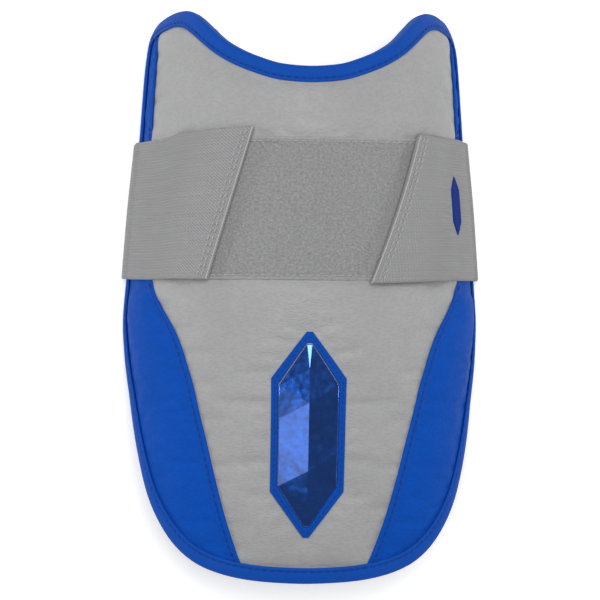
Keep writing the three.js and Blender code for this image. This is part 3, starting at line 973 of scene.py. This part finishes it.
def strap_wing(side, share, depth_of):
    """Points of one wing of the strap, outwards from its end, and their distances from that end."""
    end = strap_end_arc(side, share)
    hem = end + HEM[:, None]
    beyond_hem = mix(hem[-1], PATCH_END, np.linspace(0, 1, 16)[1:-1, None])
    over_patch = np.concatenate([hem, beyond_hem])
    patch_number = FIRST_STOP * (over_patch - end) / (PATCH_END - end)
    wing_number = np.linspace(FIRST_STOP, LAST_STOP, 40)[:, None] * np.ones_like(end)
    wing = np.interp(wing_number, STRAP_STOPS[:, 0], STRAP_STOPS[:, 1])
    arc = np.concatenate([over_patch, wing])
    y = strap_places(side, np.concatenate([patch_number, wing_number]), share)
    from_end = arc - end
    face = face_at(side * turn_of(arc), y, strap_lift(arc) + depth_of(from_end, share))
    corner_share = np.linspace(0, 1, 9)[:, None]
    corner_y = strap_places(side, mix(CORNER_FIRST, CORNER_LAST, corner_share), share)
    far = np.full_like(corner_y, STRAP_WIDTH)
    corner = strap_corner(side, corner_y, corner_share, depth_of(far, share))
    return np.concatenate([face, corner]), np.concatenate([from_end, far])


def strap_depth(from_end, share):
    """Outer face of the elastic over its inner face: ribs, selvedges, hem and stitch lines."""
    rib = RIB_DEPTH * (0.5 - 0.5 * np.cos(2 * math.pi * RIBS * share))
    selvedge = 0.5 * (1 - smoothstep(np.minimum(share, 1 - share), 0, 0.012))
    bead = 0.12 * bump(from_end, HEM_BEAD, 0.25) - 0.3 * bump(from_end, 3 * HEM_BEAD, 0.3)
    cut = 0.5 * (1 - smoothstep(from_end, 0, HEM_BEAD))
    rows = sum(0.14 * bump(from_end, stitch, 0.5) for stitch in HEM_STITCHES)
    return STRAP_THICKNESS - rib - selvedge + bead - cut - rows


def no_depth(from_end, share):
    return np.zeros_like(from_end * share)


def strap():
    """Ribbed elastic from its right end round the back to its left end."""
    across, share = shares(14, STRAP_ROWS)
    layers = []
    for depth_of in (strap_depth, no_depth):
        right, right_distances = strap_wing(1, share, depth_of)
        left, left_distances = strap_wing(-1, share, depth_of)
        middle = mix(right[-1][None], left[-1][None], across[1:-1, :, None])
        layers.append(np.concatenate([left, middle[::-1], right[::-1]]))
    front, back = layers
    travelled = np.cumsum(np.linalg.norm(np.diff(front, axis=0), axis=-1), axis=0)
    along = np.concatenate([np.zeros((1, STRAP_ROWS)), travelled])
    uv = flat_uv(-along, share * STRAP_WIDTH)
    obj = mesh_object("strap_elastic", *slab(front, back), uv=uv, sharp=70)
    far = np.full(middle.shape[:2], STRAP_WIDTH)
    distances = np.concatenate([left_distances, far, right_distances[::-1]])
    # rim: painted highlight on the bead along each cut end, read by the elastic's material
    paint_attribute(obj, "rim", bump(distances, HEM_BEAD, 0.18))
    paint_attribute(obj, "twill", 1 - smoothstep(distances, *TWILL_REACH))
    return obj


def strap_stitches():
    share = np.linspace(0.04, 0.96, 60)
    rows = []
    for side in (1, -1):
        for distance in HEM_STITCHES:
            arc = strap_end_arc(side, share) + distance
            number = FIRST_STOP * distance / (PATCH_END - strap_end_arc(side, share))
            path = np.stack([side * arc, strap_places(side, number, share)], axis=1)
            rows.append(stitch_row(path, lift=OVER_HOOK + STRAP_THICKNESS - 0.08, pitch=3))
    return stitching("stitches_strap", rows, length=2.4, thickness=0.8)


def patch_stitches():
    reach = PATCH_LENGTH / 2 - 2
    rows = []
    for y in (PATCH_LOW + PATCH_STITCH, PATCH_LOW + PATCH_HEIGHT - PATCH_STITCH):
        rows.append(stitch_row(table((-reach, y), (reach, y)), lift=PATCH_LIFT - 0.3, pitch=3.2))
    return stitching("stitches_patch", rows, length=2.5, thickness=0.65)


# Badge and mark

# Section of the badge's border: distance inwards from its outline, lift off the face.
RIM_SECTION = table(
    (0.15, 0.3),
    (0, 0.75),
    (0.15, 1.2),
    (0.5, 1.42),
    (1.1, 1.48),
    (1.5, 1.28),
    (1.9, 1.48),
    (2.5, 1.44),
    (2.9, 1.2),
    (3, 0.75),
    (2.9, 0.3),
)
RIM_STITCH = 1.5
HEXAGON_STEPS = 12


def hexagon_size(shrink):
    """Half width and half length of the badge's outline, drawn in by that much."""
    return np.array([BADGE_WIDTH - 2 * shrink, BADGE_LENGTH - 3 * shrink]) / 2


def hexagon_path(shrink, steps):
    """Closed outline of the badge, drawn in by that much: arc and place of each point."""
    right = np.stack([HEXAGON[:, 1], HEXAGON[:, 0]], axis=1) * hexagon_size(shrink)
    corners = np.concatenate([right, right[::-1] * np.array([-1, 1])])
    after = np.roll(corners, -1, axis=0)
    share = np.linspace(0, 1, steps, endpoint=False)[:, None, None]
    path = mix(corners[None], after[None], share).swapaxes(0, 1).reshape(-1, 2)
    return path + np.array([0, BADGE_PLACE])


def badge_rim():
    inset, lift = RIM_SECTION.T
    paths = np.stack([hexagon_path(shrink, HEXAGON_STEPS) for shrink in inset], axis=1)
    sections = face_at(turn_of(paths[..., 0]), paths[..., 1], lift)
    uv = paths.reshape(-1, 2)
    return mesh_object("badge_border", *ring(sections[:, ::-1]), uv=uv, sharp=70)


def badge_stitches():
    row = stitch_row(hexagon_path(RIM_STITCH, HEXAGON_STEPS), lift=1.3, pitch=2.6, closed=True)
    return stitching("stitches_badge", [row], length=1.9, thickness=0.5)


# Facets of the badge's face: place of each girdle point, then of each ridge point with its lift.
GIRDLE_PLACES = np.array([-1, -0.55, -0.18, 0.18, 0.55, 1])
RIDGE = table((-0.74, 3.3), (-0.37, 4.4), (0, 3.5), (0.37, 4.4), (0.74, 3.3))
BEVEL = 0.25


def badge_face():
    """Metallic face: flat facets from the girdle up to a ridge that rises and falls."""
    half_width, half_length = hexagon_size(BADGE_BORDER + CLEARANCE)
    half = np.interp(GIRDLE_PLACES, HEXAGON[:, 0], HEXAGON[:, 1])
    turns = turn_of(np.concatenate([half, -half[::-1]]) * half_width)
    places = BADGE_PLACE + np.concatenate([GIRDLE_PLACES, GIRDLE_PLACES[::-1]]) * half_length
    girdle = face_at(turns, places, CLEARANCE + GEM_GIRDLE)
    base = face_at(turns, places, CLEARANCE)
    ridge = face_at(0.0, BADGE_PLACE + RIDGE[:, 0] * half_length, CLEARANCE + RIDGE[:, 1])
    count, spine, last = len(girdle), len(ridge), len(GIRDLE_PLACES) - 1
    top = 2 * count
    triangles = []
    for k in range(last):
        left, left_after = count - 1 - k, count - 2 - k
        triangles += [(k, k + 1, top + k), (left_after, left, top + k)]
    for k in range(spine - 1):
        left_after = count - 2 - k
        triangles += [(k + 1, top + k + 1, top + k), (top + k + 1, left_after, top + k)]
    triangles += [(count - 1, 0, top), (last, last + 1, top + spine - 1)]
    around = np.arange(count)
    after = (around + 1) % count
    skirt = np.stack([around + count, after + count, after, around], axis=1)
    floor = np.arange(count, 2 * count)[::-1][None]
    points = np.concatenate([girdle, base, ridge])
    obj = mesh_object("badge_facets", points, [np.array(triangles), skirt, floor], sharp=1)
    edges = obj.modifiers.new("soft edges", "BEVEL")
    edges.width = BEVEL * MM
    edges.segments = 2
    return obj


def strap_mark():
    """Thin pressed film on the right of the strap."""
    across = np.linspace(-1, 1, 17)[:, None]
    place = np.linspace(-1, 1, 41)[None, :]
    half = np.interp(place, HEXAGON[:, 0], HEXAGON[:, 1])
    arc = MARK_REACH + across * half * MARK_WIDTH / 2
    y = MARK_PLACE + place * MARK_LENGTH / 2 * np.ones_like(arc)
    under = strap_lift(arc) + STRAP_THICKNESS
    soft_edge = 0.25 * smoothstep(np.maximum(np.abs(across), np.abs(place)), 0.8, 1)
    film = face_at(turn_of(arc), y, under + MARK_THICKNESS - soft_edge)
    solid = slab(film, face_at(turn_of(arc), y, under - RIB_DEPTH))
    return mesh_object("strap_film", *solid, uv=flat_uv(arc, y), sharp=50)


# Materials

COLOURS = {entry["slot"]: entry["base_color"] for entry in frame["record"]["materials"]}

# Numbers of a mix node's sockets that hold colours.
MIX_LOW = 6
MIX_HIGH = 7
MIX_RESULT = 2

WAVE_PERIOD = 2 * math.pi / 20  # of a wave node at scale 1
FABRIC = {"Specular_IOR_Level": 0.1, "Sheen_Weight": 0.1}  # shared by the loops and the knit


def shade(colour, factor):
    return tuple(min(1.0, channel * factor) for channel in colour)


class Shader:
    """A material's nodes, with short ways to add and join them. Lengths are in millimetres."""

    def __init__(self, name, colour, roughness, **surface):
        self.colour = colour
        self.material = bpy.data.materials.new(name)
        self.material.use_nodes = True
        self.tree = self.material.node_tree
        self.surface = self.tree.nodes["Principled BSDF"]
        self.set("Roughness", roughness)
        for key, value in surface.items():
            self.set(key.replace("_", " "), value)

    def set(self, name, value):
        self.join(self.surface.inputs[name], value)

    def join(self, socket, value):
        if isinstance(value, bpy.types.NodeSocket):
            self.tree.links.new(value, socket)
        else:
            socket.default_value = value

    def add(self, kind, inputs, **settings):
        node = self.tree.nodes.new(kind)
        for key, value in settings.items():
            setattr(node, key, value)
        for key, value in inputs.items():
            self.join(node.inputs[key], value)
        return node

    def cloth(self, across=1.0, along=1.0):
        """Cloth coordinates in millimetres, stretched by these factors."""
        place = self.add("ShaderNodeUVMap", {}, uv_map="cloth").outputs["UV"]
        scale = (1 / (MM * across), 1 / (MM * along), 1)
        return self.add("ShaderNodeMapping", {"Vector": place, "Scale": scale}).outputs["Vector"]

    def solid(self):
        """Coordinates in the piece itself, in millimetres."""
        place = self.add("ShaderNodeTexCoord", {}).outputs["Object"]
        scale = (1 / MM,) * 3
        return self.add("ShaderNodeMapping", {"Vector": place, "Scale": scale}).outputs["Vector"]

    def cloud(self, place, size, detail=2.0):
        inputs = {"Vector": place, "Scale": 1 / size, "Detail": detail}
        return self.add("ShaderNodeTexNoise", inputs).outputs["Fac"]

    def mottle(self, across, along, detail=2.0):
        """Cloudy pattern on the cloth, of that size each way."""
        return self.cloud(self.cloth(across, along), 1, detail)

    def cells(self, place, size):
        inputs = {"Vector": place, "Scale": 1 / size}
        return self.add("ShaderNodeTexVoronoi", inputs, feature="F1").outputs["Distance"]

    def ribs(self, place, pitch, direction):
        """Even ribs as heights from 0 to 1. Diagonal ones are 1.4 times that pitch apart."""
        inputs = {"Vector": place, "Scale": WAVE_PERIOD / pitch}
        return self.add("ShaderNodeTexWave", inputs, bands_direction=direction).outputs["Fac"]

    def attribute(self, name):
        return self.add("ShaderNodeAttribute", {}, attribute_name=name).outputs["Fac"]

    def ranged(self, value, low, high, to_low, to_high):
        """A value from low to high, carried over to another range and kept inside it."""
        source = {"Value": value, "From Min": low, "From Max": high}
        target = {"To Min": to_low, "To Max": to_high}
        return self.add("ShaderNodeMapRange", source | target).outputs["Result"]

    def product(self, a, b):
        node = self.add("ShaderNodeMath", {}, operation="MULTIPLY")
        self.join(node.inputs[0], a)
        self.join(node.inputs[1], b)
        return node.outputs["Value"]

    def tinted(self, share, low, high):
        """Mix of two colours. A number stands for the material's own colour times that number."""
        node = self.add("ShaderNodeMix", {}, data_type="RGBA")
        self.join(node.inputs["Factor"], share)
        for socket, colour in ((MIX_LOW, low), (MIX_HIGH, high)):
            if isinstance(colour, (int, float)):
                colour = (*shade(self.colour, colour), 1)
            self.join(node.inputs[socket], colour)
        return node.outputs[MIX_RESULT]

    def relief(self, height, depth, under=None):
        """Bump of that depth in millimetres, laid over another bump if one is given."""
        inputs = {"Height": height, "Distance": depth * MM, "Strength": 1}
        if under is not None:
            inputs["Normal"] = under
        return self.add("ShaderNodeBump", inputs).outputs["Normal"]


def leather(name, colour, roughness, gloss, grain=0.1):
    """Coated leather with a fine grain that runs across the arm, rubbed paler at its borders."""
    shader = Shader(name, colour, roughness, Specular_IOR_Level=gloss)
    fine = shader.cells(shader.cloth(1.9, 0.75), 1)
    coarse = shader.mottle(7, 3, detail=3)
    blotch = shader.mottle(26, 22)
    pits = shader.ranged(fine, 0, 0.7, 0, 1)
    base = shader.tinted(blotch, 0.9, 1.08)
    grained = shader.tinted(shader.ranged(pits, 0, 1, 0.35, 0), base, 0.72)
    patches = shader.ranged(coarse, 0.35, 0.7, 0, 0.25)
    worn = shader.product(shader.attribute("border"), patches)
    shader.set("Base Color", shader.tinted(worn, grained, 1.3))
    shader.set("Roughness", shader.ranged(coarse, 0.3, 0.7, roughness - 0.06, roughness + 0.08))
    shader.set("Normal", shader.relief(pits, grain, shader.relief(coarse, 0.25)))
    return shader.material


def binding_tape(name, colour):
    """Matt woven tape: fine cross ribs and a soft sheen."""
    sheen = {"Sheen_Weight": 0.03, "Sheen_Roughness": 0.4}
    shader = Shader(name, colour, 0.7, Specular_IOR_Level=0.1, **sheen)
    ribs = shader.ribs(shader.cloth(), 0.7, "X")
    threads = shader.mottle(0.35, 1.2)
    blotch = shader.mottle(14, 5)
    base = shader.tinted(blotch, 0.88, 1.1)
    gaps = shader.ranged(shader.product(ribs, threads), 0, 0.6, 0.3, 0)
    shader.set("Base Color", shader.tinted(gaps, base, 0.65))
    shader.set("Normal", shader.relief(threads, 0.06, shader.relief(ribs, 0.07)))
    return shader.material


def elastic(name, colour):
    """Ribbed elastic: faint lengthwise ribs, a slanted weave towards its ends and a painted
    highlight on the bead along its cut ends.
    """
    sheen = {"Sheen_Weight": 0.08, "Sheen_Roughness": 0.5}
    shader = Shader(name, colour, 0.88, Specular_IOR_Level=0.1, **sheen)
    lengthwise = shader.ribs(shader.cloth(), STRAP_WIDTH / RIBS, "Y")
    slanted = shader.ribs(shader.cloth(1.5, 1), 0.52, "DIAGONAL")
    twill = shader.attribute("twill")
    yarns = shader.ribs(shader.cloth(), 0.8, "X")
    streaks = shader.mottle(30, 1.1)
    fluff = shader.mottle(0.5, 0.4, detail=3)
    base = shader.tinted(streaks, 0.92, 1.16)
    ribbed = shader.tinted(shader.ranged(lengthwise, 0, 0.45, 0.16, 0), base, 0.6)
    slant_share = shader.product(shader.ranged(slanted, 0.4, 1, 0, 0.42), twill)
    crossed = shader.tinted(slant_share, ribbed, 1.7)
    fuzzy = shader.tinted(shader.ranged(fluff, 0.3, 0.7, 0.16, 0), crossed, 0.7)
    # The rim attribute is a painted highlight: the colour is doubled on the bead along the strap's
    # cut ends.
    shader.set("Base Color", shader.tinted(shader.attribute("rim"), fuzzy, 2))
    under = shader.relief(fluff, 0.1, shader.relief(yarns, 0.06))
    slants = shader.relief(shader.product(slanted, twill), 0.12, under)
    shader.set("Normal", shader.relief(lengthwise, 0.06, slants))
    return shader.material


def loops(name, colour):
    """Brushed loop fabric: mottled pile without a direction, and a painted highlight along its
    edges.
    """
    shader = Shader(name, colour, 0.95, **FABRIC, Sheen_Roughness=0.6)
    tufts = shader.cells(shader.cloth(0.9, 0.75), 1)
    fluff = shader.mottle(0.5, 0.5, detail=4)
    blotch = shader.mottle(1.2, 0.9, detail=4)
    base = shader.tinted(shader.ranged(blotch, 0.3, 0.7, 0, 1), 0.86, 1.32)
    fuzzy = shader.tinted(shader.ranged(fluff, 0.35, 0.65, 0.35, 0), base, 0.6)
    # The rim attribute is a painted highlight: the colour is raised 1.6 times along the patch's
    # edges.
    shader.set("Base Color", shader.tinted(shader.attribute("rim"), fuzzy, 1.6))
    shader.set("Normal", shader.relief(fluff, 0.25, shader.relief(tufts, 0.2)))
    return shader.material


def knit(name, colour):
    """Plain knitted lining: rows of small stitches with a soft sheen."""
    shader = Shader(name, colour, 0.95, **FABRIC, Sheen_Roughness=0.5)
    wales = shader.ribs(shader.cloth(), 1.3, "X")
    courses = shader.ribs(shader.cloth(), 0.9, "Y")
    fluff = shader.mottle(0.5, 0.5, detail=3)
    blotch = shader.mottle(20, 20)
    stitches = shader.product(wales, courses)
    base = shader.tinted(blotch, 0.85, 1.15)
    gaps = shader.ranged(stitches, 0, 0.5, 0.5, 0)
    shader.set("Base Color", shader.tinted(gaps, base, 0.5))
    shader.set("Normal", shader.relief(fluff, 0.08, shader.relief(stitches, 0.2)))
    return shader.material


def hook_tape(name, colour):
    """Hook tape: small stiff hooks, darker between them."""
    shader = Shader(name, colour, 0.6)
    hooks = shader.cells(shader.cloth(1, 1), 0.9)
    base = shader.tinted(shader.mottle(5, 5), 0.85, 1.15)
    gaps = shader.ranged(hooks, 0.1, 0.6, 0, 0.6)
    shader.set("Base Color", shader.tinted(gaps, base, 0.5))
    shader.set("Normal", shader.relief(hooks, 0.4))
    return shader.material


def metallic(name, colour):
    """Metallic film under a thick clear coat, a little scuffed and clouded."""
    coat = {"Coat_Weight": 1, "Coat_Roughness": 0.08, "Coat_IOR": 1.6}
    shader = Shader(name, colour, 0.2, Metallic=0.9, **coat)
    scuffs = shader.cloud(shader.solid(), 2.5, 3)
    flow = shader.cloud(shader.solid(), 9, 2)
    shader.set("Base Color", shader.tinted(flow, 0.7, 1.5))
    shader.set("Roughness", shader.ranged(scuffs, 0.3, 0.7, 0.16, 0.3))
    shader.set("Normal", shader.relief(flow, 0.5))
    return shader.material


def pressed_film(name, colour):
    """Thin printed film pressed into the elastic's ribs."""
    shader = Shader(name, colour, 0.6, Specular_IOR_Level=0.02)
    threads = shader.ribs(shader.cloth(), STRAP_WIDTH / RIBS, "Y")
    blotch = shader.mottle(3, 3)
    shader.set("Base Color", shader.tinted(blotch, 0.8, 1.3))
    shader.set("Roughness", shader.ranged(blotch, 0.3, 0.7, 0.5, 0.65))
    shader.set("Normal", shader.relief(threads, 0.06))
    return shader.material


def thread(name, colour):
    """Twisted sewing thread."""
    shader = Shader(name, colour, 0.65, Specular_IOR_Level=0.2, Sheen_Weight=0.05)
    twist = shader.cloud(shader.solid(), 0.3, 2)
    shader.set("Base Color", shader.tinted(shader.ranged(twist, 0.3, 0.7, 0, 1), 0.7, 1.25))
    shader.set("Normal", shader.relief(twist, 0.06))
    return shader.material


# Pieces


def dress():
    """Makes every piece and puts it on the guard."""
    grey = leather("grey leather", COLOURS["grey_leather"], 0.5, 0.3)
    blue = leather("blue leather", COLOURS["blue_leather"], 0.5, 0.015)
    tape = binding_tape("blue binding", COLOURS["blue_binding"])
    ribbed = elastic("grey elastic", COLOURS["grey_elastic"])
    pile = loops("grey loops", COLOURS["grey_loop"])
    hooks = hook_tape("grey hooks", COLOURS["grey_hook"])
    lining = knit("knitted lining", COLOURS["lining"])
    metal = metallic("blue metal", COLOURS["badge_metallic"])
    border = leather("badge border", COLOURS["badge_border"], 0.5, 0.02, 0.05)
    film = pressed_film("navy film", COLOURS["navy_print"])
    blue_thread = thread("blue thread", shade(COLOURS["blue_binding"], 0.55))
    grey_thread = thread("grey thread", shade(COLOURS["grey_loop"], 1.35))
    foam = dressed(pad(), lining, "lining", "pad_body")
    dressed(front_panel(), grey, "grey_leather", "front_panel")
    dressed(side_panel(1), blue, "blue_leather", "side_panel_right")
    dressed(side_panel(-1), blue, "blue_leather", "side_panel_left")
    dressed(binding(), tape, "blue_binding", "edge_binding")
    dressed(loop_patch(), pile, "grey_loop", "loop_patch")
    dressed(pile_fibres(), pile, "grey_loop")
    dressed(hook_pad(1), hooks, "grey_hook", "hook_pad_right")
    dressed(hook_pad(-1), hooks, "grey_hook", "hook_pad_left")
    dressed(strap(), ribbed, "grey_elastic", "strap")
    dressed(badge_rim(), border, "badge_border", "badge_rim")
    dressed(badge_face(), metal, "badge_metallic", "badge_face")
    dressed(strap_mark(), film, "navy_print", "strap_mark")
    dressed(seam_stitches(), blue_thread, "blue_leather")
    dressed(binding_stitches(), blue_thread, "blue_binding")
    dressed(badge_stitches(), blue_thread, "badge_border")
    dressed(patch_stitches(), grey_thread, "grey_loop")
    dressed(strap_stitches(), grey_thread, "grey_elastic")


# Studio

PHOTO_WIDTH = 247.2  # what the photo shows from side to side, at the guard
CAMERA_HEIGHT = 2200.0
CAMERA_SIDE = math.radians(-3.5)
CAMERA_ROLL = math.radians(0.5)
AIM = (-1.9, -1.2, 36.0)
WHITE = (1, 1, 1)
WORLD_STRENGTH = 0.14
FLOOR_GLOW = 0.4
FLOOR_HALF = 3000.0
FLOOR_DROP = 0.2  # the floor lies this far below the guard

# Lamps, in metres: name, place, size, power. They look at the lamp target.
LAMP_TARGET = (0.0, 0.0, 0.03)
LAMPS = (
    ("overhead", (0.0, 0.4, 2.78), 1.8, 67),
    ("left", (-1.4, 0.1, 0.14), 0.22, 3.4),
    ("right", (1.4, 0.1, 0.14), 0.22, 2.8),
    ("glint", (-1.0, -1.0, 2.1), 0.8, 3),
)


def floor():
    """Pale floor that glows a little, so that it comes out nearly white."""
    corners = table((-1, -1), (1, -1), (1, 1), (-1, 1)) * FLOOR_HALF
    points = np.column_stack([corners, np.full(4, -FLOOR_DROP)])
    mesh = bpy.data.meshes.new("floor")
    mesh.from_pydata(points * MM, [], [(0, 1, 2, 3)])
    obj = bpy.data.objects.new("floor", mesh)
    bpy.context.scene.collection.objects.link(obj)
    shader = Shader("pale floor", WHITE, 0.9)
    speckle = shader.cloud(shader.solid(), 40, 2)
    shader.set("Base Color", shader.tinted(speckle, 0.88, 0.92))
    shader.set("Emission Color", (*WHITE, 1))
    shader.set("Emission Strength", FLOOR_GLOW)
    obj.data.materials.append(shader.material)


def lamp(name, place, size, power):
    """Soft square light that looks at the guard."""
    data = bpy.data.lights.new(name, "AREA")
    data.shape = "SQUARE"
    data.size = size
    data.energy = power
    obj = bpy.data.objects.new(name, data)
    obj.location = place
    ahead = Vector(LAMP_TARGET) - Vector(place)
    obj.rotation_euler = ahead.to_track_quat("-Z", "Y").to_euler()
    obj.visible_camera = False
    bpy.context.scene.collection.objects.link(obj)


def studio():
    floor()
    for row in LAMPS:
        lamp(*row)
    world = bpy.data.worlds.new("pale room")
    world.use_nodes = True
    background = world.node_tree.nodes["Background"].inputs
    background["Color"].default_value = (*WHITE, 1)
    background["Strength"].default_value = WORLD_STRENGTH
    bpy.context.scene.world = world
    bpy.context.scene.view_settings.view_transform = "Standard"


def camera():
    """Overhead camera turned a little to the left, as in the photograph."""
    data = bpy.data.cameras.new("camera")
    data.lens = data.sensor_width * CAMERA_HEIGHT / PHOTO_WIDTH
    data.clip_end = 10
    obj = bpy.data.objects.new("camera", data)
    aim = Vector(AIM) * MM
    back = Vector((math.sin(CAMERA_SIDE), 0, math.cos(CAMERA_SIDE)))
    obj.location = aim + back * CAMERA_HEIGHT * MM
    turn = Matrix.Rotation(CAMERA_SIDE, 3, "Y") @ Matrix.Rotation(CAMERA_ROLL, 3, "Z")
    obj.rotation_euler = turn.to_euler()
    bpy.context.scene.collection.objects.link(obj)
    bpy.context.scene.camera = obj


dress()
studio()
camera()
